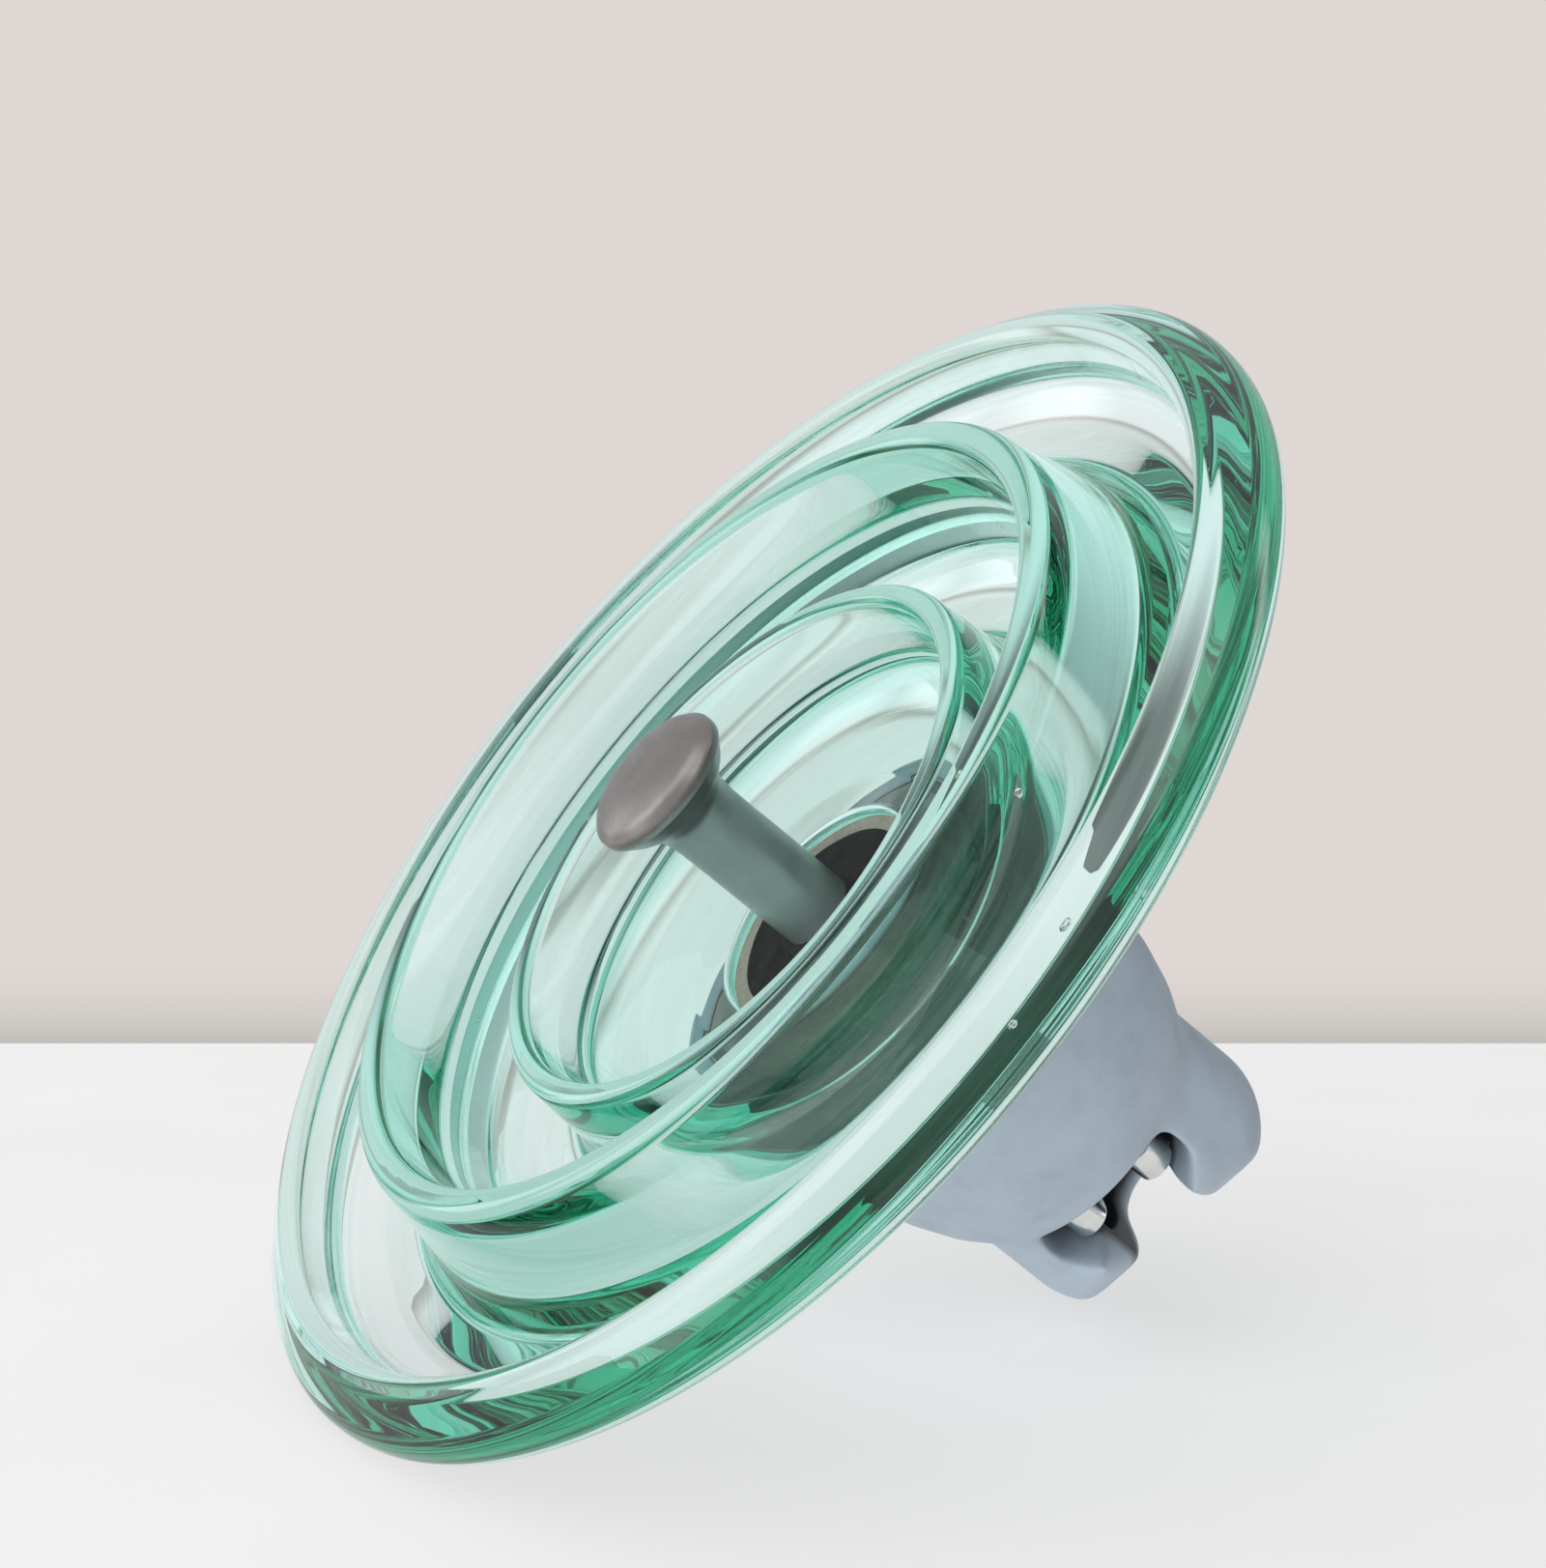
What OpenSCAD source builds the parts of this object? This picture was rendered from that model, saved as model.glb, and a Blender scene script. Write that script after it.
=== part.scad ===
// Cap-and-pin suspension insulator: a toughened glass shell with two deep
// ribs, a cast cap with a ball socket, and a forged ball-ended pin.
// +Z points up the axis, cap upwards and pin downwards, as it hangs in use.
// The origin is the centre of the mating ball when it is seated in the cap's
// socket, and the socket's mouth faces -Y.

/* [Coupling] */
// Distance from the seated ball's centre to this unit's own ball centre
spacing = 146; // [140:0.5:152]
// Shank diameter of the ball pin
shank_d = 17; // [16:0.1:17.4]
// Largest diameter of the pin's ball
ball_d = 33.3; // [32:0.1:33.6]
// Width of the slot that the shank passes through in the cap's lip
slot_w = 19.6; // [19.2:0.1:21]
// Width of the side entry that the ball passes through
entry_w = 37; // [35.5:0.5:38]
// Height of the side entry that the ball passes through
entry_h = 14.6; // [14.5:0.1:15.2]

/* [Glass shell] */
// Outside diameter of the glass rim
disc_d = 280; // [276:1:284]
// How far the outer rib's tip hangs below the rim's widest line
rib1_drop = 17.2; // [16:0.2:19]
// How far the inner rib's tip hangs below the rim's widest line
rib2_drop = 4.2; // [3:0.2:6]
// Height of the rim's widest line above the centre of the pin's ball
rim_rise = 22.4; // [20:0.1:24]
// Radius of the pin hole where it meets the underside of the shell
mouth_r = 26; // [25.5:0.1:26.4]

/* [Cap] */
// Outside radius of the cap's skirt
skirt_r = 48.5; // [47.5:0.1:49.5]
// Outside radius of the cap's socket head
head_r = 32.5; // [32:0.1:33.5]
// Height of the cap's top face above the seated ball's centre
lip_top = 14.5; // [14:0.1:15.5]

/* [Locking clip] */
// Thickness of the clip's spring strip
clip_t = 2; // [1.6:0.1:2.2]
// Height of the clip's spring strip
clip_h = 7.5; // [6.5:0.1:7.8]

/* [Hidden] */
$fn = 96;

eps = 0.01;
z_ball = -spacing;              // centre of the pin's ball
z_rim = z_ball + rim_rise;      // widest line of the glass rim
R = disc_d / 2;
sr = shank_d / 2;
br = ball_d / 2;
z_floor = -19.6;                // floor of the socket chamber
z_entry = z_floor + entry_h;    // top of the side entry
roof = -28.2;                   // inside roof of the cap's cement space
skirt_z = -77;                  // lower edge of the cap's skirt
crown = -31.2;                  // top of the glass head
hole_top = -43;                 // top of the pin hole inside the glass head
seal_z = -97.4;                 // lower face of the pin's cement
coat = 0.5;                     // thickness of a bitumen coat
clip_z = -11.3;                 // middle of the clip's strip

// Corner rounding: each point is [x, y, radius], and an arc of that radius
// replaces the corner in steps of about 10 degrees.
function turn(d) = let(m = (d + 540) - 360 * floor((d + 540) / 360)) m - 180;
function corner(a, b, c, r) =
  let(p = [b[0], b[1]],
      u = ([a[0], a[1]] - p) / norm([a[0], a[1]] - p),
      v = ([c[0], c[1]] - p) / norm([c[0], c[1]] - p),
      half = acos(max(-1, min(1, u * v))) / 2)
  (r <= 0 || half > 89) ? [p] :
  let(m = (u + v) / norm(u + v),
      o = p + m * (r / sin(half)),
      s = p + u * (r / tan(half)) - o,
      e = p + v * (r / tan(half)) - o,
      a0 = atan2(s[1], s[0]),
      da = turn(atan2(e[1], e[0]) - a0),
      n = max(2, ceil(abs(da) / 10)))
  [for (i = [0:n]) o + r * [cos(a0 + da * i / n), sin(a0 + da * i / n)]];
function rounded(p) =
  let(n = len(p))
  [for (i = [0:n - 1])
    each corner(p[(i + n - 1) % n], p[i], p[(i + 1) % n],
                len(p[i]) > 2 ? p[i][2] : 0)];

module lathe(p) { rotate_extrude() polygon(rounded(p)); }

// Glass shell: the underside from the pin hole outwards, then over the rim
// and up the top surface to the head.
function shell_pts() =
  let(r1 = z_rim - rib1_drop, r2 = z_rim - rib2_drop)
  [[0, hole_top], [17.5, hole_top, 6], [23.2, hole_top - 12, 20],
   [23.6, seal_z + 12, 10], [mouth_r + 0.4, seal_z - 1.8, 2.4],
   [34, seal_z - 3.6, 8], [52, seal_z - 5.4, 14],
   [58, seal_z - 13, 9], [59.4, r2, 2.4], [64.8, r2, 2.4],
   [67, -107.5, 10], [70.5, -101.8, 5.5], [82, -102.6, 9],
   [89, -108.5, 9], [91, r1, 3], [97.8, r1, 3.3],
   [103.8, -118, 6], [108.2, -113.6, 4], [118, -114.4, 8],
   [125.4, -119.2, 7], [126.8, z_rim - 11, 3.2], [132.4, z_rim - 9.2, 6],
   [R, z_rim - 3.8, 5.5], [R, z_rim + 3, 5.5], [133.5, z_rim + 6.4, 10],
   [101, -98.8, 60], [62, -84.2, 30], [42, -79.6, 6],
   [35.8, -73.6, 5], [31.4, -48, 12], [26.6, crown, 9], [0, crown]];

module glass_shell() {
  color([0.62, 0.86, 0.80, 0.45]) lathe(shell_pts());
}

// Space inside the cap, drawn in by d on every side.
function cap_space(d) =
  [[0, skirt_z - 1], [41.8 - d, skirt_z - 1], [41.8 - d, -71, 2],
   [39.2 - d, -68, 2], [38.4 - d, -54, 8], [34.8 - d, -41, 10],
   [31 - d, roof - d, 6], [0, roof - d]];

// Bell, neck and socket head of the cap, before the socket is cut.
function cap_outside() =
  [[0, skirt_z], [skirt_r, skirt_z, 2.4], [skirt_r, skirt_z + 7.5, 4],
   [44.6, -60, 12], [40.4, -38, 16], [37.4, -28.5, 10],
   [head_r, -18.5, 9], [head_r + 0.2, 4, 10],
   [head_r - 2.4, lip_top, 11.5], [0, lip_top]];

// Outline of the side entry, seen from the front: full width at its foot and
// drawn in towards the slot at its shoulders.
function entry_outline() =
  let(w = entry_w / 2, s = slot_w / 2)
  [[-w, z_floor, 4.5], [w, z_floor, 4.5], [w, z_entry - 4.6, 3],
   [s + 3.4, z_entry + 0.6, 3], [-s - 3.4, z_entry + 0.6, 3],
   [-w, z_entry - 4.6, 3]];

module along_y(y0, y1, p) {
  translate([0, y1, 0]) rotate([90, 0, 0])
    linear_extrude(height = y1 - y0) polygon(rounded(p));
}

module socket_cut() {
  // Chamber where the ball enters, and the recess above it that seats it
  translate([0, 0, z_floor]) cylinder(h = entry_h, r = 18.2);
  rotate_extrude() polygon([[0, z_entry - 1], [17.3, z_entry - 1], [17.3, 1],
                            [10.4, 7.3], [slot_w / 2, 7.9],
                            [slot_w / 2, lip_top + 2], [0, lip_top + 2]]);
  along_y(-50, 0, entry_outline());
  // Slot for the shank, flared at its mouth
  translate([0, 0, z_entry - 1])
    linear_extrude(height = lip_top + 3 - z_entry)
      polygon([[-slot_w / 2, 0], [-slot_w / 2, -19], [-slot_w / 2 - 4, -36],
               [slot_w / 2 + 4, -36], [slot_w / 2, -19], [slot_w / 2, 0]]);
  // The lips fall away towards the mouth
  rotate([90, 0, 90]) translate([0, 0, -50]) linear_extrude(height = 100)
    polygon(rounded([[-60, -9], [-33, -9], [-29.6, -1.6, 10],
                     [-15.6, lip_top - 3.3, 8], [-7, lip_top + 1],
                     [-7, lip_top + 9], [-60, lip_top + 9]]));
  // Rear window for the locking clip
  along_y(8, 50, [[-15.6, clip_z - 4.4, 1.5], [15.6, clip_z - 4.4, 1.5],
                  [15.6, clip_z + 4.4, 1.5], [-15.6, clip_z + 4.4, 1.5]]);
}

module cap() {
  color([0.62, 0.68, 0.73]) difference() {
    lathe(cap_outside());
    lathe(cap_space(0));
    socket_cut();
  }
}

// Forged pin: ball, plain shank, and the flared head held in the cement.
// g grows the buried part sideways and upwards for its coat.
function pin_head(g) =
  [[0, seal_z], [sr + g, seal_z], [sr + g, -66, 8], [16.4 + g, -57.5, 3],
   [16.4 + g, -49.5, 3], [12.5 + g, -46.5 + g, 2], [0, -46.5 + g]];
module ball_pin() {
  color([0.45, 0.50, 0.50]) {
    lathe([[0, z_ball - 5.4], [9, z_ball - 4.9, 30], [14.6, z_ball - 3, 5],
           [br, z_ball - 1, 0.8], [br, z_ball + 1, 0.8],
           [13.6, z_ball + 4.6, 6], [sr + 0.6, z_ball + 8.4, 5],
           [sr, z_ball + 14, 10], [sr, seal_z], [sr, -66, 8],
           [16.4, -57.5, 3], [16.4, -49.5, 3], [12.5, -46.5, 2], [0, -46.5]]);
  }
}

module pin_lining() {
  color([0.06, 0.06, 0.06]) difference() {
    lathe(pin_head(coat));
    lathe(pin_head(0));
  }
}

module cap_lining() {
  color([0.07, 0.07, 0.07]) difference() {
    lathe(cap_space(0));
    lathe(cap_space(coat));
    translate([0, 0, skirt_z - 5]) cylinder(h = 5.3, r = 60);
  }
}

module cap_cushion() {
  color([0.45, 0.33, 0.22])
    translate([0, 0, crown]) cylinder(h = roof - coat - crown, r = 20);
}

module pin_cushion() {
  color([0.45, 0.33, 0.22])
    translate([0, 0, -46.5 + coat]) cylinder(h = hole_top + 46.5 - coat, r = 11);
}

module cap_cement() {
  color([0.66, 0.65, 0.62]) difference() {
    lathe(cap_space(coat));
    lathe(shell_pts());
    translate([0, 0, crown - 1]) cylinder(h = 10, r = 20);
    translate([0, 0, skirt_z - 5]) cylinder(h = 5.3, r = 60);
    translate([0, 0, skirt_z - 5]) cylinder(h = hole_top + 8 - skirt_z, r = 28);
  }
}

module pin_cement() {
  color([0.72, 0.71, 0.66]) difference() {
    rotate_extrude() polygon([[0, hole_top + 4], [26.6, hole_top + 4],
                              [26.6, seal_z], [0, seal_z]]);
    lathe(shell_pts());
    translate([0, 0, crown - 8]) cylinder(h = 30, r = 60);
    lathe(pin_head(coat));
    translate([0, 0, -47]) cylinder(h = 12, r = 11);
    translate([0, 0, seal_z - 2]) cylinder(h = 3, r = sr + coat);
  }
}

// Black bitumen ring that seals the cement around the pin
module cement_seal() {
  color([0.04, 0.04, 0.04])
    rotate_extrude() polygon(rounded([[sr, seal_z], [sr, seal_z - 2.2, 0],
      [sr + 2, seal_z - 1.5, 2], [20.5, seal_z - 1.3, 2], [22.4, seal_z]]));
}

// Locking clip bent from one spring strip into a W: two round bends point at
// the socket's mouth, the middle loop stands out of the rear window, and the
// two free ends are turned outwards behind the head.
module strip_leg(x, y0, y1) {
  translate([x - clip_t / 2, y0]) square([clip_t, y1 - y0]);
}
module strip_bend(x, y, r, ymin, ymax, xmin = -100, xmax = 100) {
  intersection() {
    translate([x, y]) difference() {
      circle(r = r + clip_t / 2);
      circle(r = r - clip_t / 2);
    }
    translate([xmin, ymin]) square([xmax - xmin, ymax - ymin]);
  }
}
module locking_clip() {
  color([0.80, 0.80, 0.78]) translate([0, 0, clip_z - clip_h / 2])
    linear_extrude(height = clip_h) {
      for (s = [-1, 1]) {
        strip_bend(s * 9.6, -18.6, 3.4, -30, -18.6);
        strip_leg(s * 6.2, -18.6 - eps, 37 + eps);
        strip_leg(s * 13, -18.6 - eps, 36 + eps);
        strip_bend(s * 16, 36, 3, 36, 50, s > 0 ? 12 : -16, s > 0 ? 16 : -12);
        translate([s > 0 ? 16 - eps : -18.4, 39 - clip_t / 2])
          square([2.4 + eps, clip_t]);
      }
      strip_bend(0, 37, 6.2, 37, 60);
    }
}

glass_shell();
cap();
ball_pin();
cap_cement();
pin_cement();
cap_cushion();
pin_cushion();
cap_lining();
pin_lining();
cement_seal();
locking_clip();
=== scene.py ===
import math
import bpy
import numpy as np
from mathutils import Matrix, Vector, noise


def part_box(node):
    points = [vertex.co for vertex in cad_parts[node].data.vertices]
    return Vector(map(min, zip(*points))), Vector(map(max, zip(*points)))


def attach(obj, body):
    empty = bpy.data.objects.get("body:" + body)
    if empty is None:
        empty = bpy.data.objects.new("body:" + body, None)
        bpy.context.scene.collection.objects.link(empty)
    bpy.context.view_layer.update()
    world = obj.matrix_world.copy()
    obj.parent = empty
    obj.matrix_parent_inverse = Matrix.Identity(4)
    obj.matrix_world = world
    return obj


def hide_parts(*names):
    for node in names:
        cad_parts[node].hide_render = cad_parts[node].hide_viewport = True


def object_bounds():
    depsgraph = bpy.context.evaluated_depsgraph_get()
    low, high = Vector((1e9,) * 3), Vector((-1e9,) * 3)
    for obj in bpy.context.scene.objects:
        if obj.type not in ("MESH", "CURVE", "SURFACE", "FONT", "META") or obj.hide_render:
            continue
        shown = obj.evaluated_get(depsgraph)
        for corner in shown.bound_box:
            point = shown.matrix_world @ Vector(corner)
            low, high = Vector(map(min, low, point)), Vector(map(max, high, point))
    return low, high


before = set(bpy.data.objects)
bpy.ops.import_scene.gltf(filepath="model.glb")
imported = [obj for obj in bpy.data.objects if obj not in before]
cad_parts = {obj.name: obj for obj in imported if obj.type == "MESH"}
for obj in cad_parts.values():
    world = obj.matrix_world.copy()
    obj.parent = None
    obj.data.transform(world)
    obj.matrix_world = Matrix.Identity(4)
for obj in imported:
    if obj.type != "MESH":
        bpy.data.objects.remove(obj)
cad_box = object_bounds()

MM = 0.001


# ------------------------------------------------------------------ shapes

def corner(a, b, c, r, step):
    """An arc of radius r in place of corner b, as a list of points."""
    b2 = np.array(b[:2], float)
    u = np.array(a[:2], float) - b2
    v = np.array(c[:2], float) - b2
    u /= np.linalg.norm(u)
    v /= np.linalg.norm(v)
    half = math.acos(max(-1.0, min(1.0, float(u @ v)))) / 2
    if r <= 0 or half > math.radians(89.5):
        return [b2]
    m = (u + v) / np.linalg.norm(u + v)
    o = b2 + m * (r / math.sin(half))
    s = b2 + u * (r / math.tan(half)) - o
    e = b2 + v * (r / math.tan(half)) - o
    a0 = math.atan2(s[1], s[0])
    da = math.atan2(e[1], e[0]) - a0
    da = (da + 3 * math.pi) % (2 * math.pi) - math.pi
    n = max(3, int(math.ceil(abs(math.degrees(da)) / step)))
    return [o + r * np.array([math.cos(a0 + da * i / n), math.sin(a0 + da * i / n)])
            for i in range(n + 1)]


def rounded(points, step=5.0):
    out = [np.array(points[0][:2], float)]
    for i in range(1, len(points) - 1):
        p = points[i]
        out += corner(points[i - 1], p, points[i + 1], p[2] if len(p) > 2 else 0, step)
    out.append(np.array(points[-1][:2], float))
    return out


def spaced(points, longest):
    """The same line with its long stretches cut into equal parts."""
    out = [points[0]]
    for a, b in zip(points, points[1:]):
        d = float(np.linalg.norm(b - a))
        if d < 1e-4:
            continue
        n = max(1, int(math.ceil(d / longest)))
        out += [a + (b - a) * (i / n) for i in range(1, n + 1)]
    return out


def make_object(name, verts, faces, smooth=True):
    mesh = bpy.data.meshes.new(name)
    mesh.from_pydata([tuple(v) for v in verts], [], faces)
    mesh.validate()
    mesh.update()
    if smooth:
        mesh.shade_smooth()
    ob = bpy.data.objects.new(name, mesh)
    bpy.context.scene.collection.objects.link(ob)
    return ob


def lathe_data(line, segs):
    """Vertices and faces of a line (r, z in mm, axis to axis) turned about Z, normals outwards for a line drawn anticlockwise."""
    verts, faces, rows = [], [], []
    for r, z in line:
        if r < 1e-6:
            rows.append([len(verts)])
            verts.append((0.0, 0.0, z * MM))
        else:
            rows.append(list(range(len(verts), len(verts) + segs)))
            for k in range(segs):
                t = 2 * math.pi * k / segs
                verts.append((r * math.cos(t) * MM, r * math.sin(t) * MM, z * MM))
    for a, b in zip(rows, rows[1:]):
        for k in range(segs):
            k2 = (k + 1) % segs
            if len(a) == 1 and len(b) == 1:
                continue
            if len(a) == 1:
                faces.append((a[0], b[k2], b[k]))
            elif len(b) == 1:
                faces.append((a[k], a[k2], b[0]))
            else:
                faces.append((a[k], a[k2], b[k2], b[k]))
    return verts, faces


def box_mm(node):
    lo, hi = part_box(node)
    return np.array(lo) / MM, np.array(hi) / MM


# ------------------------------------------------------------------ node help

class Mat:
    """A material's node tree with short calls."""

    def __init__(self, name):
        self.m = bpy.data.materials.new(name)
        self.m.use_nodes = True
        self.t = self.m.node_tree
        self.t.nodes.clear()
        self.out = self.t.nodes.new("ShaderNodeOutputMaterial")

    def node(self, kind, **values):
        n = self.t.nodes.new(kind)
        for k, v in values.items():
            if hasattr(n, k) and k not in n.inputs:
                setattr(n, k, v)
            else:
                n.inputs[k].default_value = v
        return n

    def link(self, a, b):
        self.t.links.new(a, b)

    def coords(self):
        return self.node("ShaderNodeTexCoord").outputs["Object"]

    def noise(self, vec, scale, detail=4.0, rough=0.5, distortion=0.0, stretch=None):
        if stretch is not None:
            mp = self.node("ShaderNodeMapping")
            mp.inputs["Scale"].default_value = stretch
            self.link(vec, mp.inputs["Vector"])
            vec = mp.outputs["Vector"]
        n = self.node("ShaderNodeTexNoise", Scale=scale, Detail=detail, Roughness=rough, Distortion=distortion)
        self.link(vec, n.inputs["Vector"])
        return n.outputs["Fac"]

    def ramp(self, fac, stops, interpolation="LINEAR"):
        n = self.node("ShaderNodeValToRGB")
        n.color_ramp.interpolation = interpolation
        while len(n.color_ramp.elements) < len(stops):
            n.color_ramp.elements.new(0.5)
        for e, (p, c) in zip(n.color_ramp.elements, stops):
            e.position = p
            e.color = (c[0], c[1], c[2], 1) if hasattr(c, "__len__") else (c, c, c, 1)
        self.link(fac, n.inputs["Fac"])
        return n.outputs["Color"]

    def math(self, op, a, b=None, c=None, clamp=False):
        n = self.node("ShaderNodeMath", operation=op, use_clamp=clamp)
        for i, v in enumerate((a, b, c)):
            if v is None:
                continue
            if hasattr(v, "is_linked"):
                self.link(v, n.inputs[i])
            else:
                n.inputs[i].default_value = v
        return n.outputs[0]

    def mix(self, fac, a, b, mode="MIX"):
        n = self.node("ShaderNodeMix", data_type="RGBA", blend_type=mode)
        for sock, v in ((n.inputs[0], fac), (n.inputs[6], a), (n.inputs[7], b)):
            if hasattr(v, "is_linked"):
                self.link(v, sock)
            else:
                sock.default_value = v if not hasattr(v, "__len__") else (v[0], v[1], v[2], 1)
        return n.outputs[2]

    def bump(self, height, strength, distance, normal=None):
        n = self.node("ShaderNodeBump", Strength=strength, Distance=distance)
        self.link(height, n.inputs["Height"])
        if normal is not None:
            self.link(normal, n.inputs["Normal"])
        return n.outputs["Normal"]

    def finish(self, shader):
        self.link(shader, self.out.inputs["Surface"])
        return self.m


def assign(ob, material):
    ob.data.materials.clear()
    ob.data.materials.append(material)


# ------------------------------------------------------------------ materials

def glass_material():
    m = Mat("glass_pale_green")
    co = m.coords()
    p = m.node("ShaderNodeBsdfPrincipled")
    p.inputs["Base Color"].default_value = (1, 1, 1, 1)
    p.inputs["Transmission Weight"].default_value = 1.0
    p.inputs["IOR"].default_value = 1.52
    # fire-polished faces, with a few faint rub marks
    rub = m.noise(co, 42.0, 6.0, 0.65, 0.6)
    m.link(m.ramp(rub, [(0.0, 0.0), (0.68, 0.0), (0.90, 0.03)]), p.inputs["Roughness"])
    slow = m.noise(co, 20.0, 0.0, 0.4, 0.3)
    fine = m.noise(co, 110.0, 1.0, 0.5, 0.2)
    h = m.math("ADD", slow, m.math("MULTIPLY", fine, 0.003))
    m.link(m.bump(h, 0.10, 0.0005), p.inputs["Normal"])
    clear = m.node("ShaderNodeBsdfTransparent")
    clear.inputs["Color"].default_value = (1.0, 0.945, 0.955, 1)
    lp = m.node("ShaderNodeLightPath")
    mix = m.node("ShaderNodeMixShader")
    m.link(lp.outputs["Is Shadow Ray"], mix.inputs[0])
    m.link(p.outputs[0], mix.inputs[1])
    m.link(clear.outputs[0], mix.inputs[2])
    va = m.node("ShaderNodeVolumeAbsorption")
    va.inputs["Color"].default_value = (0.0, 0.785, 0.61, 1)
    va.inputs["Density"].default_value = 13.5
    m.link(va.outputs[0], m.out.inputs["Volume"])
    return m.finish(mix.outputs[0])


def cap_material():
    m = Mat("galvanised_casting")
    co = m.coords()
    big = m.noise(co, 22.0, 5.0, 0.55, 0.4)
    mid = m.noise(co, 95.0, 6.0, 0.6)
    grain = m.noise(co, 900.0, 3.0, 0.6)
    base = m.ramp(big, [(0.25, (0.430, 0.505, 0.590)), (0.5, (0.455, 0.530, 0.615)), (0.78, (0.480, 0.558, 0.638))])
    spot = m.ramp(mid, [(0.30, 0.90), (0.52, 1.0), (0.75, 1.04)])
    col = m.mix(1.0, base, spot, "MULTIPLY")
    # painted shade: the inside of the socket is mixed to near black, standing in for the shade in the recess
    sep = m.node("ShaderNodeSeparateXYZ")
    m.link(co, sep.inputs[0])
    rad = m.math("POWER", m.math("ADD", m.math("MULTIPLY", sep.outputs["X"], sep.outputs["X"]),
                                 m.math("MULTIPLY", sep.outputs["Y"], sep.outputs["Y"])), 0.5)
    inner = m.math("MULTIPLY", m.math("SUBTRACT", 0.0225, rad), 260.0, clamp=True)
    low = m.math("MULTIPLY", m.math("SUBTRACT", 0.0125, sep.outputs["Z"]), 300.0, clamp=True)
    high = m.math("MULTIPLY", m.math("ADD", 0.0205, sep.outputs["Z"]), 500.0, clamp=True)
    dark = m.math("MULTIPLY", m.math("MULTIPLY", inner, low), high)
    # painted shade: the socket's inside mask takes the near-black colour
    col = m.mix(dark, col, (0.020, 0.024, 0.030))
    p = m.node("ShaderNodeBsdfPrincipled")
    m.link(col, p.inputs["Base Color"])
    p.inputs["Metallic"].default_value = 0.15
    m.link(m.ramp(mid, [(0.2, 0.62), (0.8, 0.46)]), p.inputs["Roughness"])
    h = m.math("ADD", m.math("MULTIPLY", mid, 1.0), m.math("MULTIPLY", grain, 0.35))
    m.link(m.bump(h, 0.30, 0.0007), p.inputs["Normal"])
    return m.finish(p.outputs[0])


def pin_material(z_ball):
    m = Mat("galvanised_forging")
    co = m.coords()
    sep = m.node("ShaderNodeSeparateXYZ")
    m.link(co, sep.inputs[0])
    big = m.noise(co, 60.0, 5.0, 0.6, 0.5)
    mid = m.noise(co, 240.0, 5.0, 0.6)
    zinc = m.ramp(big, [(0.3, (0.245, 0.330, 0.315)), (0.55, (0.300, 0.390, 0.372)), (0.8, (0.360, 0.455, 0.435))])
    worn = m.ramp(mid, [(0.25, (0.170, 0.150, 0.138)), (0.5, (0.192, 0.172, 0.159)), (0.80, (0.226, 0.206, 0.192))])
    # 1 below the ball's widest line, 0 above it, with a ragged edge
    low = m.math("SUBTRACT", z_ball * MM + 0.0012, sep.outputs["Z"])
    low = m.math("ADD", low, m.math("MULTIPLY", m.math("SUBTRACT", big, 0.5), 0.004))
    low = m.math("MULTIPLY", low, 700.0, clamp=True)
    col = m.mix(low, zinc, worn)
    p = m.node("ShaderNodeBsdfPrincipled")
    m.link(col, p.inputs["Base Color"])
    p.inputs["Metallic"].default_value = 0.45
    m.link(m.ramp(mid, [(0.2, 0.36), (0.8, 0.26)]), p.inputs["Roughness"])
    h = m.math("ADD", mid, m.math("MULTIPLY", big, 1.5))
    m.link(m.bump(h, 0.10, 0.0004), p.inputs["Normal"])
    return m.finish(p.outputs[0])


def clip_material():
    m = Mat("spring_strip")
    co = m.coords()
    lines = m.noise(co, 260.0, 3.0, 0.5, 0.3)
    tone = m.ramp(lines, [(0.3, (0.74, 0.74, 0.725)), (0.7, (0.84, 0.84, 0.825))])
    p = m.node("ShaderNodeBsdfPrincipled")
    m.link(tone, p.inputs["Base Color"])
    p.inputs["Metallic"].default_value = 1.0
    m.link(m.ramp(lines, [(0.3, 0.26), (0.7, 0.20)]), p.inputs["Roughness"])
    m.link(m.bump(lines, 0.03, 0.0001), p.inputs["Normal"])
    return m.finish(p.outputs[0])


def cement_material(name, dark, light):
    m = Mat(name)
    co = m.coords()
    a = m.noise(co, 120.0, 8.0, 0.65)
    b = m.noise(co, 700.0, 3.0, 0.6)
    col = m.mix(1.0, m.ramp(a, [(0.3, dark), (0.7, light)]), m.ramp(b, [(0.3, 0.82), (0.6, 1.0)]), "MULTIPLY")
    p = m.node("ShaderNodeBsdfPrincipled")
    m.link(col, p.inputs["Base Color"])
    p.inputs["Roughness"].default_value = 0.9
    m.link(m.bump(m.math("ADD", a, m.math("MULTIPLY", b, 0.4)), 0.5, 0.0008), p.inputs["Normal"])
    return m.finish(p.outputs[0])


def bitumen_material():
    m = Mat("bitumen_coat")
    co = m.coords()
    a = m.noise(co, 160.0, 5.0, 0.6, 0.4)
    b = m.noise(co, 35.0, 3.0, 0.5)
    p = m.node("ShaderNodeBsdfPrincipled")
    m.link(m.ramp(b, [(0.3, (0.004, 0.004, 0.0035)), (0.75, (0.014, 0.013, 0.011))]), p.inputs["Base Color"])
    m.link(m.ramp(a, [(0.2, 0.72), (0.8, 0.5)]), p.inputs["Roughness"])
    p.inputs["Specular IOR Level"].default_value = 0.2
    m.link(m.bump(m.math("ADD", a, b), 0.4, 0.0006), p.inputs["Normal"])
    return m.finish(p.outputs[0])


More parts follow.
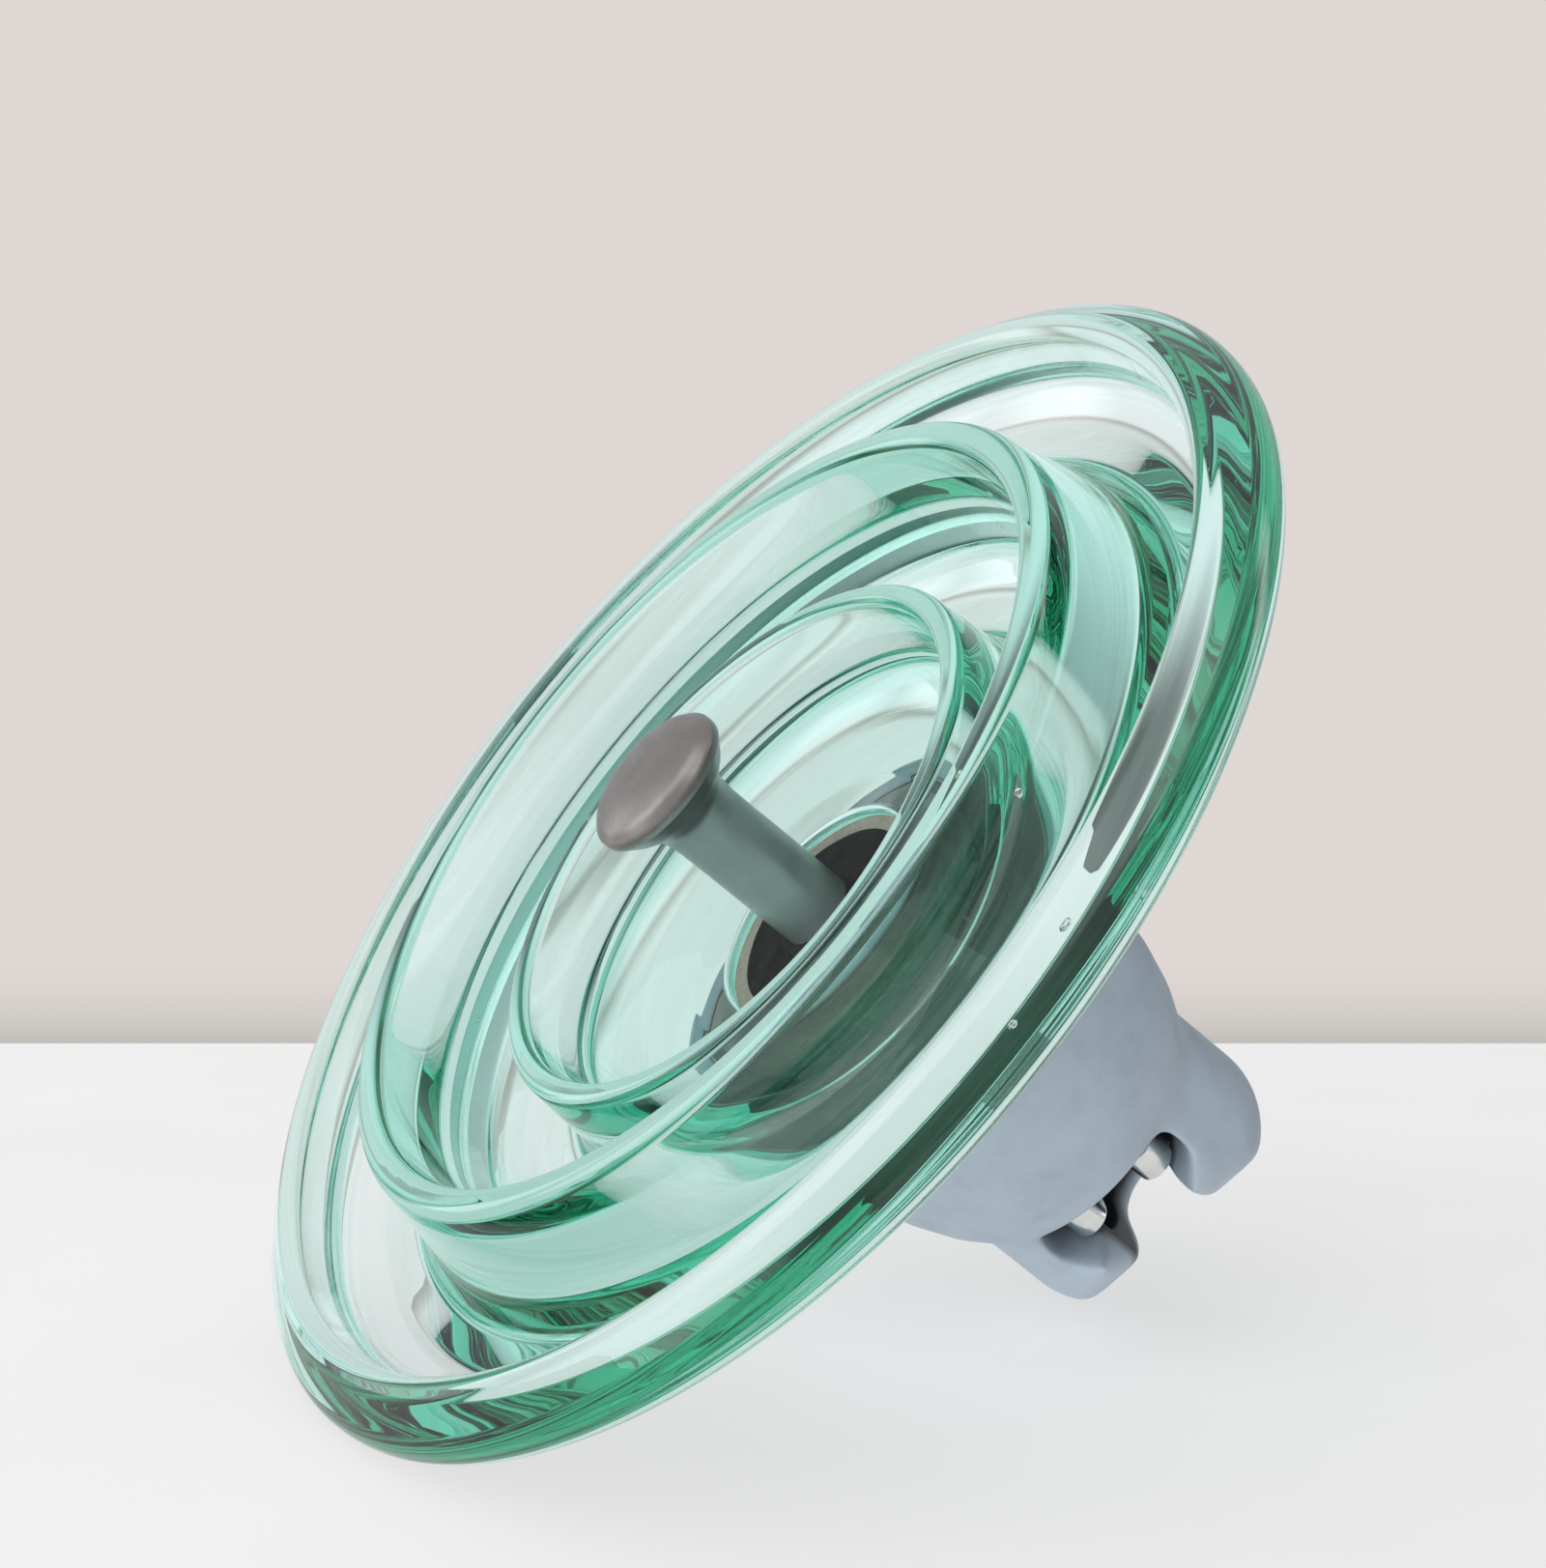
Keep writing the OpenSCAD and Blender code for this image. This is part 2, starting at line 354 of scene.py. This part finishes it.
def cork_material():
    m = Mat("cork_cushion")
    co = m.coords()
    v = m.node("ShaderNodeTexVoronoi", Scale=420.0)
    m.link(co, v.inputs["Vector"])
    a = m.noise(co, 300.0, 4.0, 0.6)
    p = m.node("ShaderNodeBsdfPrincipled")
    m.link(m.ramp(v.outputs["Distance"], [(0.0, (0.10, 0.055, 0.028)), (0.6, (0.26, 0.155, 0.080))]), p.inputs["Base Color"])
    p.inputs["Roughness"].default_value = 0.85
    m.link(m.bump(a, 0.4, 0.0005), p.inputs["Normal"])
    return m.finish(p.outputs[0])


# ------------------------------------------------------------------ the glass shell

g_lo, g_hi = box_mm("glass_shell")
seal_lo, seal_hi = box_mm("cement_seal")
pin_lo, pin_hi = box_mm("ball_pin")
pinc_lo, pinc_hi = box_mm("pin_cement")
R = g_hi[0]
z_tip1 = g_lo[2]
z_rim = z_tip1 + 17.2
crown = g_hi[2]
seal_z = seal_hi[2]
hole_top = pinc_hi[2]
if abs(hole_top - crown) < 1:
    hole_top = crown - 11.8
t = 0.22   # the glass reaches this far into the cement round it, so that they meet with no air between

shell = [
    [0, hole_top - t], [17.5 - t, hole_top - t, 6], [23.2 - t, hole_top - 12, 20],
    [23.6 - t, seal_z + 12, 10], [26.4 - t, seal_z - 1.8, 2.4], [34, seal_z - 3.6, 8],
    [52, seal_z - 5.4, 14], [58, seal_z - 13, 9], [59.4, z_rim - 4.2, 2.4],
    [64.8, z_rim - 4.2, 2.4], [67, -107.5, 10], [70.5, -101.8, 5.5], [82, -102.6, 9],
    [89, -108.5, 9], [91, z_tip1, 3], [97.8, z_tip1, 3.3], [103.8, -118, 6],
    [108.2, -113.6, 4], [118, -114.4, 8], [125.4, -119.2, 7], [126.8, z_rim - 11, 3.2],
    [132.4, z_rim - 9.2, 6], [R, z_rim - 3.8, 5.5], [R, z_rim + 3, 5.5],
    [133.5, z_rim + 6.4, 10], [101, -98.8, 60], [62, -84.2, 30], [42, -79.6, 6],
    [35.8 + t, -73.6, 5], [31.4 + t, -48, 12], [26.6 + t, crown + t, 9], [0, crown + t]]

line = spaced(rounded(shell, 3.0), 1.5)
SEGS = 360
verts, faces = lathe_data(line, SEGS)


def ripple(v):
    """Slight unevenness of pressed glass, in metres, always inwards."""
    q = Vector(v) * 16.0
    a = noise.noise(q) * 0.75 + noise.noise(q * 2.1 + Vector((7.1, 3.3, 1.7))) * 0.25
    return -0.00009 * (0.5 + 0.5 * a)


line_np = np.array(line)
tan = np.gradient(line_np, axis=0)
nrm = np.stack([tan[:, 1], -tan[:, 0]], 1)
nrm /= np.maximum(np.linalg.norm(nrm, axis=1, keepdims=True), 1e-9)
new = []
i = 0
for (r, z), (nr, nz) in zip(line, nrm):
    count = 1 if r < 1e-6 else SEGS
    hidden = r < 33 and z > seal_z - 1 or r < 44 and z > -78
    for k in range(count):
        x, y, zz = verts[i]
        if not hidden:
            d = ripple((x, y, zz))
            rr = math.hypot(x, y)
            x += nr * d * x / rr
            y += nr * d * y / rr
            zz += nz * d
        new.append((x, y, zz))
        i += 1
verts = new

# Small air bubbles caught in the glass: closed hollows inside the same shell.
bubbles = [((130.6, z_rim - 3.0), 243.0, (1.4, 0.8, 0.7)), ((132.0, z_rim - 1.0), 251.0, (1.0, 0.6, 0.5)),
           ((119.0, z_rim + 12.2), 236.0, (1.6, 0.6, 0.45)), ((95.0, -128.0), 230.0, (1.2, 0.5, 0.9)),
           ((63.0, -118.0), 60.0, (0.8, 0.4, 0.9)), ((110.0, -106.0), 78.0, (0.9, 0.4, 0.4)),
           ((96.0, -112.0), 150.0, (0.8, 0.4, 1.2)), ((131.0, z_rim + 1.0), 35.0, (1.0, 0.5, 0.5))]
for (br, bz), ang, (sx, sy, sz) in bubbles:
    c = math.cos(math.radians(ang))
    s = math.sin(math.radians(ang))
    n0 = len(verts)
    rows, cols = 7, 12
    pts = []
    for i in range(1, rows):
        for j in range(cols):
            th, ph = math.pi * i / rows, 2 * math.pi * j / cols
            lx, ly, lz = sx * math.sin(th) * math.cos(ph), sy * math.sin(th) * math.sin(ph), sz * math.cos(th)
            pts.append(((br + ly) * c - lx * s, (br + ly) * s + lx * c, bz + lz))
    top, bot = (br * c, br * s, bz + sz), (br * c, br * s, bz - sz)
    verts += [tuple(a * MM for a in q) for q in [top, bot] + pts]
    for j in range(cols):
        j2 = (j + 1) % cols
        faces.append((n0, n0 + 2 + j2, n0 + 2 + j))
        faces.append((n0 + 1, n0 + 2 + (rows - 2) * cols + j, n0 + 2 + (rows - 2) * cols + j2))
        for i in range(rows - 2):
            a = n0 + 2 + i * cols
            faces.append((a + j, a + j2, a + cols + j2, a + cols + j))

glass = make_object("glass_shell_moulded", verts, faces)
assign(glass, glass_material())
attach(glass, "insulator")
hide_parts("glass_shell")

# ------------------------------------------------------------------ the pin

z_ball = pin_lo[2] + 5.4
sr = 8.5
br = pin_hi[0]
pin_line = [
    [0, z_ball - 5.4], [9, z_ball - 4.9, 30], [14.6, z_ball - 3, 5], [br, z_ball - 1, 1.2],
    [br, z_ball + 1, 1.2], [13.6, z_ball + 4.6, 6], [sr + 0.6, z_ball + 8.4, 5], [sr, z_ball + 14, 10],
    [sr, seal_z], [sr, -66, 8], [16.4, -57.5, 3], [16.4, -49.5, 3], [12.5, pin_hi[2], 2], [0, pin_hi[2]]]
pv, pf = lathe_data(spaced(rounded(pin_line, 6.0), 1.6), 128)
out = []
for x, y, z in pv:
    r = math.hypot(x, y)
    if r > 1e-6 and z < (seal_z + 2) * MM:
        d = -0.00010 * (0.5 + 0.5 * noise.noise(Vector((x, y, z)) * 90.0))
        x, y = x * (1 + d / r), y * (1 + d / r)
    out.append((x, y, z))
pin = make_object("ball_pin_forged", out, pf)
assign(pin, pin_material(z_ball))
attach(pin, "insulator")
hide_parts("ball_pin")

# ------------------------------------------------------------------ the cap

cap_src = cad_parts["cap"]
cap = bpy.data.objects.new("cap_casting", cap_src.data.copy())
bpy.context.scene.collection.objects.link(cap)
cap.matrix_world = Matrix.Identity(4)
weld = cap.modifiers.new("weld", "WELD")
weld.merge_threshold = 1e-6
rem = cap.modifiers.new("remesh", "REMESH")
rem.mode = "VOXEL"
rem.voxel_size = 0.00062
rem.use_smooth_shade = True
smo = cap.modifiers.new("smooth", "SMOOTH")
smo.factor = 0.5
smo.iterations = 12
dg = bpy.context.evaluated_depsgraph_get()
mesh = bpy.data.meshes.new_from_object(cap.evaluated_get(dg))
cap.modifiers.clear()
cap.data = mesh
# the casting's edges round its mouth and lips are worn rounder than the rest
co = np.empty(len(mesh.vertices) * 3)
mesh.vertices.foreach_get("co", co)
co = co.reshape(-1, 3)
ed = np.empty(len(mesh.edges) * 2, int)
mesh.edges.foreach_get("vertices", ed)
ed = ed.reshape(-1, 2)
deg = np.bincount(ed.ravel(), minlength=len(co)).astype(float)
seat = np.hypot(co[:, 0], co[:, 1]) < 0.0176
w = np.clip((co[:, 2] + 0.024) / 0.004, 0, 1) * np.clip((-0.012 - co[:, 1]) / 0.005, 0, 1)
w = np.maximum(w, np.clip((co[:, 2] - 0.0095) / 0.002, 0, 1))
w[seat & (co[:, 2] < 0.0095)] = 0
for _ in range(60):
    acc = np.zeros_like(co)
    for k in range(3):
        acc[:, k] = (np.bincount(ed[:, 0], co[ed[:, 1], k], len(co)) + np.bincount(ed[:, 1], co[ed[:, 0], k], len(co))) / deg
    co += (acc - co) * (w * 0.5)[:, None]
mesh.vertices.foreach_set("co", co.ravel())
mesh.update()
mesh.shade_smooth()
assign(cap, cap_material())
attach(cap, "insulator")
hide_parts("cap")

# ------------------------------------------------------------------ the locking clip

c_lo, c_hi = box_mm("locking_clip")
clip_mid = (c_lo[2] + c_hi[2]) / 2
half_h = (c_hi[2] - c_lo[2]) / 2


def arc(cx, cy, r, a0, a1, n):
    return [(cx + r * math.cos(math.radians(a0 + (a1 - a0) * k / n)),
             cy + r * math.sin(math.radians(a0 + (a1 - a0) * k / n))) for k in range(n + 1)]


half_path = ([(18.4, 39.0), (17.2, 39.0)] + arc(16, 36, 3, 90, 180, 10) +
             [(13.0, 36 - 54.6 * k / 16) for k in range(1, 16)] + arc(9.6, -18.6, 3.4, 0, -180, 22) +
             [(6.2, -18.6 + 55.6 * k / 16) for k in range(1, 16)] + arc(0, 37, 6.2, 0, 90, 14))
path = half_path + [(-x, y) for x, y in reversed(half_path[:-1])]
sec = []
for sx, sz, a0 in ((1, 1, 0), (-1, 1, 90), (-1, -1, 180), (1, -1, 270)):
    for k in range(5):
        a = math.radians(a0 + 90 * k / 4)
        sec.append((sx * 0.4 + 0.6 * math.cos(a), sz * (half_h - 0.6) + 0.6 * math.sin(a)))
cv, cf = [], []
P = np.array(path)
T = np.gradient(P, axis=0)
T /= np.linalg.norm(T, axis=1, keepdims=True)
ns = len(sec)
for (x, y), (tx, ty) in zip(P, T):
    for u, w in sec:
        cv.append(((x + ty * u) * MM, (y - tx * u) * MM, (clip_mid + w) * MM))
for k in range(len(P) - 1):
    for j in range(ns):
        j2 = (j + 1) % ns
        cf.append((k * ns + j, k * ns + j2, (k + 1) * ns + j2, (k + 1) * ns + j))
cf.append(tuple(reversed(range(ns))))
cf.append(tuple(range((len(P) - 1) * ns, len(P) * ns)))
clip = make_object("locking_clip_strip", cv, cf)
assign(clip, clip_material())
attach(clip, "clip")
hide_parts("locking_clip")

# ------------------------------------------------------------------ CAD pieces that stay

cement = cement_material("cement_mortar", (0.30, 0.29, 0.26), (0.52, 0.50, 0.45))
pale = cement_material("cement_mortar_pale", (0.25, 0.268, 0.215), (0.41, 0.425, 0.35))
bitumen = bitumen_material()
cork = cork_material()
for node, mat in (("cap_cement", cement), ("pin_cement", pale), ("cap_cushion", cork), ("pin_cushion", cork),
                  ("cap_lining", bitumen), ("pin_lining", bitumen), ("cement_seal", bitumen)):
    assign(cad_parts[node], mat)

for o in (glass, pin, cap, clip):
    if o.data.validate():
        print("mesh mended:", o.name)

# ------------------------------------------------------------------ camera

cam_data = bpy.data.cameras.new("camera")
cam_data.sensor_fit = "HORIZONTAL"
cam_data.sensor_width = 36.0
cam_data.lens = 68.0967
cam_data.clip_start = 0.01
cam_data.clip_end = 20
cam = bpy.data.objects.new("camera", cam_data)
bpy.context.scene.collection.objects.link(cam)
right = Vector((-0.70042, -0.147056, 0.698418)).normalized()
back = Vector((-0.234872, -0.876553, -0.420108))
back = (back - right * back.dot(right)).normalized()
up = back.cross(right)
eye = Vector((-0.154764, -0.521359, -0.377448))
cam.matrix_world = Matrix(((right.x, up.x, back.x, eye.x), (right.y, up.y, back.y, eye.y),
                           (right.z, up.z, back.z, eye.z), (0, 0, 0, 1)))
bpy.context.scene.camera = cam

# ------------------------------------------------------------------ floor

N = Vector((-0.69188, 0.38015, -0.61383)).normalized()
lowest = min(N.dot(Vector(v)) for v in verts)
lowest = min(lowest, min(N.dot(v.co) for v in cap.data.vertices))
side = right - N * right.dot(N)
side.normalize()
away = N.cross(side)
if away.dot(-back) < 0:
    away = -away
edge_dir = (-back - up * ((1080 - 811.5) / 3026.52)).normalized()
tt = (lowest - N.dot(eye)) / N.dot(edge_dir)
edge_pt = eye + edge_dir * tt
foot = edge_pt - side * (edge_pt - eye).dot(side)
W0, D0 = 0.75, 1.2
fl = [foot + side * sx * W0 - away * d for sx, d in ((-1, D0), (1, D0), (1, 0), (-1, 0))]
floor = make_object("floor", [tuple(p) for p in fl], [(0, 1, 2, 3)], smooth=False)
if floor.data.polygons[0].normal.dot(N) < 0:
    floor.data.flip_normals()


def floor_material():
    m = Mat("plain_floor")
    co = m.coords()
    a = m.noise(co, 9.0, 3.0, 0.5)
    d = m.node("ShaderNodeBsdfPrincipled")
    m.link(m.ramp(a, [(0.3, (0.505, 0.503, 0.500)), (0.7, (0.53, 0.528, 0.525))]), d.inputs["Base Color"])
    m.link(m.ramp(a, [(0.3, (0.535, 0.535, 0.533)), (0.7, (0.55, 0.55, 0.548))]), d.inputs["Emission Color"])
    d.inputs["Emission Strength"].default_value = 1.0
    d.inputs["Roughness"].default_value = 0.75
    d.inputs["Specular IOR Level"].default_value = 0.25
    clear = m.node("ShaderNodeBsdfTransparent")
    g = m.node("ShaderNodeNewGeometry")
    mix = m.node("ShaderNodeMixShader")
    m.link(g.outputs["Backfacing"], mix.inputs[0])
    m.link(d.outputs[0], mix.inputs[1])
    m.link(clear.outputs[0], mix.inputs[2])
    return m.finish(mix.outputs[0])


assign(floor, floor_material())

# ------------------------------------------------------------------ light

world = bpy.data.worlds.new("studio")
bpy.context.scene.world = world
world.use_nodes = True
wt = world.node_tree
wt.nodes.clear()
wo = wt.nodes.new("ShaderNodeOutputWorld")
tc = wt.nodes.new("ShaderNodeTexCoord")


def wdot(vec):
    n = wt.nodes.new("ShaderNodeVectorMath")
    n.operation = "DOT_PRODUCT"
    n.inputs[1].default_value = tuple(vec)
    wt.links.new(tc.outputs["Generated"], n.inputs[0])
    return n.outputs["Value"]


def wramp(sock, lo, hi, stops):
    mr = wt.nodes.new("ShaderNodeMapRange")
    mr.inputs["From Min"].default_value = lo
    mr.inputs["From Max"].default_value = hi
    wt.links.new(sock, mr.inputs["Value"])
    r = wt.nodes.new("ShaderNodeValToRGB")
    while len(r.color_ramp.elements) < len(stops):
        r.color_ramp.elements.new(0.5)
    for e, (p, c) in zip(r.color_ramp.elements, stops):
        e.position = p
        e.color = (c[0], c[1], c[2], 1)
    wt.links.new(mr.outputs["Result"], r.inputs["Fac"])
    return r.outputs["Color"]


def wmath(op, a, b=None, clamp=False):
    n = wt.nodes.new("ShaderNodeMath")
    n.operation = op
    n.use_clamp = clamp
    for i, v in enumerate((a, b)):
        if v is None:
            continue
        if hasattr(v, "is_linked"):
            wt.links.new(v, n.inputs[i])
        else:
            n.inputs[i].default_value = v
    return n.outputs[0]


def background(colour, strength):
    n = wt.nodes.new("ShaderNodeBackground")
    if hasattr(colour, "is_linked"):
        wt.links.new(colour, n.inputs["Color"])
    else:
        n.inputs["Color"].default_value = colour
    if hasattr(strength, "is_linked"):
        wt.links.new(strength, n.inputs["Strength"])
    else:
        n.inputs["Strength"].default_value = strength
    return n.outputs[0]


def softbox(direction, across, half_w, half_h, soft):
    """0 to 1 over a soft-edged patch of sky round a direction."""
    d = Vector(direction).normalized()
    u = (Vector(across) - d * Vector(across).dot(d)).normalized()
    v = d.cross(u)
    front = wmath("GREATER_THAN", wdot(d), 0.0)
    edges = []
    for axis, half in ((u, half_w), (v, half_h)):
        q = wmath("DIVIDE", wdot(axis), wmath("MAXIMUM", wdot(d), 0.01))
        q = wmath("SUBTRACT", half + soft, wmath("ABSOLUTE", q))
        edges.append(wmath("DIVIDE", q, 2 * soft, clamp=True))
    return wmath("MULTIPLY", wmath("MULTIPLY", edges[0], edges[1]), front)


# the wall: plain, with a darker band just above the table's far edge
rise = wmath("DIVIDE", wdot(N), wmath("MAXIMUM", wdot(away), 0.02))
rise = wmath("ADD", rise, wmath("MULTIPLY", wmath("MULTIPLY", wmath("SUBTRACT", 0.35, wdot(away)), 5.0, clamp=True), 100.0))
wall = background(wramp(rise, -0.300, -0.148, [(0.0, (0.738, 0.682, 0.655)), (0.60, (0.715, 0.660, 0.636)), (0.7895, (0.52, 0.50, 0.47)), (0.8105, (0.54, 0.52, 0.49)), (0.857, (0.624, 0.597, 0.571)), (0.937, (0.715, 0.660, 0.636)), (1.0, (0.738, 0.682, 0.655))]), 1.0)
# what is seen through the glass beyond the floor: pale above the horizon, with a dark brown-grey band along it
beyond = wramp(wdot(N), -1.0, 1.0, [(0.0, (0.82, 0.84, 0.84)), (0.44, (0.80, 0.81, 0.80)), (0.485, (0.46, 0.43, 0.40)), (0.512, (0.84, 0.85, 0.85)), (0.57, (0.92, 0.96, 0.98)), (1.0, (1.0, 1.03, 1.05))])
room = wramp(wdot(N), -1.0, 1.0, [(0.0, (0.30, 0.31, 0.30)), (0.5, (0.06, 0.085, 0.075)), (0.70, (0.12, 0.15, 0.14)), (1.0, (0.80, 0.86, 0.88))])
facing = wt.nodes.new("ShaderNodeMapRange")
facing.interpolation_type = "SMOOTHSTEP"
facing.inputs["From Min"].default_value = 0.10
facing.inputs["From Max"].default_value = 0.75
wt.links.new(wdot(-back), facing.inputs["Value"])
both = wt.nodes.new("ShaderNodeMix")
both.data_type = "RGBA"
wt.links.new(facing.outputs["Result"], both.inputs[0])
wt.links.new(room, both.inputs[6])
wt.links.new(beyond, both.inputs[7])
behind = background(both.outputs[2], 1.0)
sky = wramp(wdot(N), -1.0, 1.0, [(0.0, (0.30, 0.31, 0.32)), (0.42, (0.46, 0.48, 0.50)), (0.62, (0.66, 0.70, 0.74)), (1.0, (0.86, 0.90, 0.94))])
strip = wmath("MULTIPLY", softbox(-side * 0.85 + N * 0.08 + away * 0.45, N, 0.30, 0.14, 0.08), 2.2)
boxes = wmath("ADD", wmath("MULTIPLY", softbox(N * 1.0 - side * 0.45 - away * 0.30, side, 0.42, 0.30, 0.12), 2.0),
              wmath("ADD", wmath("MULTIPLY", softbox(-side * 1.0 + N * 0.28 - away * 0.12, N, 0.42, 0.30, 0.12), 2.6),
                    wmath("MULTIPLY", softbox(side * 0.9 + N * 0.6 + away * 0.2, N, 0.6, 0.10, 0.06), 2.6)))
sky_bg = background(sky, 0.92)
fill = background(wramp(wdot((N * 0.5 - side * 0.85).normalized()), -1.0, 1.0, [(0.0, (0.16, 0.16, 0.16)), (0.45, (0.50, 0.50, 0.50)), (0.60, (0.80, 0.80, 0.80)), (1.0, (1.0, 1.0, 1.0))]), 0.30)
box_bg = background((0.93, 0.98, 1.0, 1), wmath("ADD", boxes, strip))
add = wt.nodes.new("ShaderNodeAddShader")
wt.links.new(sky_bg, add.inputs[0])
wt.links.new(box_bg, add.inputs[1])
lp = wt.nodes.new("ShaderNodeLightPath")
# matt faces are lit by the plain sky and the lamps, and glossy faces also see the soft boxes
gloss = wt.nodes.new("ShaderNodeMixShader")
wt.links.new(lp.outputs["Is Glossy Ray"], gloss.inputs[0])
wt.links.new(fill, gloss.inputs[1])
wt.links.new(add.outputs[0], gloss.inputs[2])
thru = wt.nodes.new("ShaderNodeMixShader")
wt.links.new(lp.outputs["Is Transmission Ray"], thru.inputs[0])
wt.links.new(gloss.outputs[0], thru.inputs[1])
wt.links.new(behind, thru.inputs[2])
mixw = wt.nodes.new("ShaderNodeMixShader")
wt.links.new(lp.outputs["Is Camera Ray"], mixw.inputs[0])
wt.links.new(thru.outputs[0], mixw.inputs[1])
wt.links.new(wall, mixw.inputs[2])
wt.links.new(mixw.outputs[0], wo.inputs["Surface"])

centre = (Vector(cad_box[0]) + Vector(cad_box[1])) / 2


def area(name, direction, distance, size, power, colour):
    """A soft lamp that only matt faces see: glass and metal reflect the sky's soft boxes instead."""
    d = Vector(direction).normalized()
    data = bpy.data.lights.new(name, "AREA")
    data.shape = "RECTANGLE"
    data.size, data.size_y = size
    data.energy = power
    data.color = colour
    data.cycles.use_multiple_importance_sampling = False
    ob = bpy.data.objects.new(name, data)
    bpy.context.scene.collection.objects.link(ob)
    ob.location = centre + d * distance
    ob.rotation_euler = d.to_track_quat("Z", "Y").to_euler()
    ob.visible_camera = False
    ob.visible_glossy = False
    ob.visible_transmission = False
    return ob


# side = the picture's right, N = up, away = from the camera
area("overhead", N - side * 0.4, 1.6, (3.0, 3.0), 5.0, (1.0, 1.0, 1.0))
area("front", back - side * 0.35, 1.2, (0.8, 0.8), 6.0, (0.94, 0.98, 1.0))
area("window", -side * 1.0 + N * 0.40 - away * 0.75, 1.3, (0.7, 0.9), 2.5, (0.95, 0.98, 1.0))
key = bpy.data.lights.new("key", "SUN")
key.energy = 1.15
key.angle = math.radians(75)
key.color = (1.0, 0.99, 0.975)
key.cycles.use_multiple_importance_sampling = False
key_ob = bpy.data.objects.new("key", key)
bpy.context.scene.collection.objects.link(key_ob)
key_dir = (N * 0.6 - side * 0.65 - away * 0.9).normalized()
key_ob.location = centre + key_dir
key_ob.rotation_euler = key_dir.to_track_quat("Z", "Y").to_euler()
key_ob.visible_camera = False
key_ob.visible_glossy = False
key_ob.visible_transmission = False

sc = bpy.context.scene
sc.view_settings.view_transform = "Standard"
sc.view_settings.look = "None"
sc.view_settings.exposure = 0.0
sc.view_settings.gamma = 1.0
sc.cycles.max_bounces = 24
sc.cycles.diffuse_bounces = 4
sc.cycles.glossy_bounces = 12
sc.cycles.transmission_bounces = 20
sc.cycles.transparent_max_bounces = 24
sc.cycles.volume_bounces = 0
sc.cycles.caustics_reflective = False
sc.cycles.caustics_refractive = False
sc.cycles.sample_clamp_indirect = 6.0
sc.cycles.use_denoising = True
